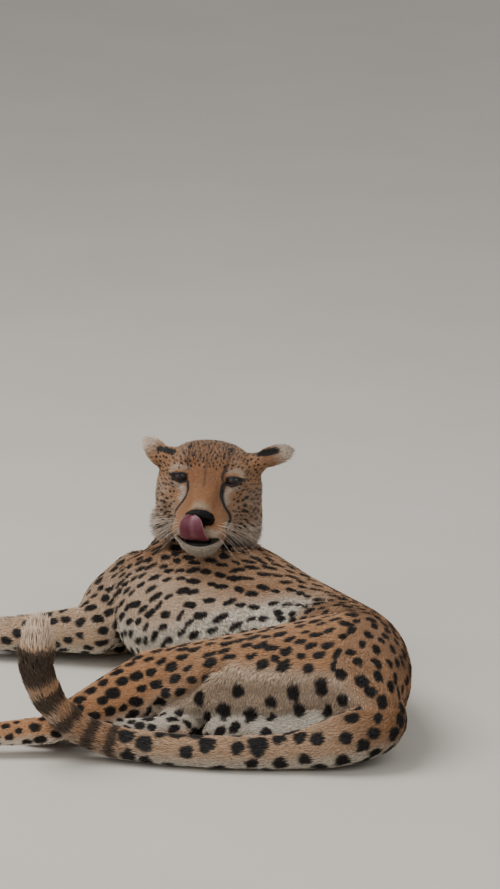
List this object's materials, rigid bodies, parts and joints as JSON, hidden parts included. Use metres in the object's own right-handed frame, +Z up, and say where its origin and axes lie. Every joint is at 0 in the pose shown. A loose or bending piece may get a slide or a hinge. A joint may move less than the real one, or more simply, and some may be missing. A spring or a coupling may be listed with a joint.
{
  "type": "lying cheetah model",
  "caption": "Still life-size cheetah lying on its right side, head turned back over the shoulder, licking its nose, tail curled forward along the ground.",
  "frame": {"origin": "on the floor under the middle of the model's box", "axes": "+Z up; the animal's head end lies towards +Y, its belly faces -X and its back +X; its face looks towards -Y"},
  "size_m": [0.774, 0.731, 0.3226],
  "materials": {
    "coat": "short fur, tawny above and whitish below, with solid black spots",
    "eye": "polished dark brown, as a set eye",
    "nose": "fine pebbled black skin, slightly damp",
    "tongue": "wet pink, finely rough",
    "claw": "dark horn",
    "whisker": "stiff pale bristle"
  },
  "bodies": {
    "root": {"head": "coat", "jaw": "coat", "neck": "coat", "chest": "coat", "loins": "coat", "rump": "coat", "ear_left": "coat", "ear_right": "coat", "thigh_left": "coat", "shank_left": "coat", "hindfoot_left": "coat", "hindpaw_left": "coat", "upper_arm_left": "coat", "forearm_left": "coat", "forefoot_left": "coat", "forepaw_left": "coat", "thigh_right": "coat", "shank_right": "coat", "hindfoot_right": "coat", "hindpaw_right": "coat", "upper_arm_right": "coat", "forearm_right": "coat", "forefoot_right": "coat", "forepaw_right": "coat", "tail_1": "coat", "tail_2": "coat", "tail_3": "coat", "tail_4": "coat", "tail_5": "coat", "eye_left": "eye", "eye_right": "eye", "nose": "nose", "tongue": "tongue"}
  },
  "joints": []
}
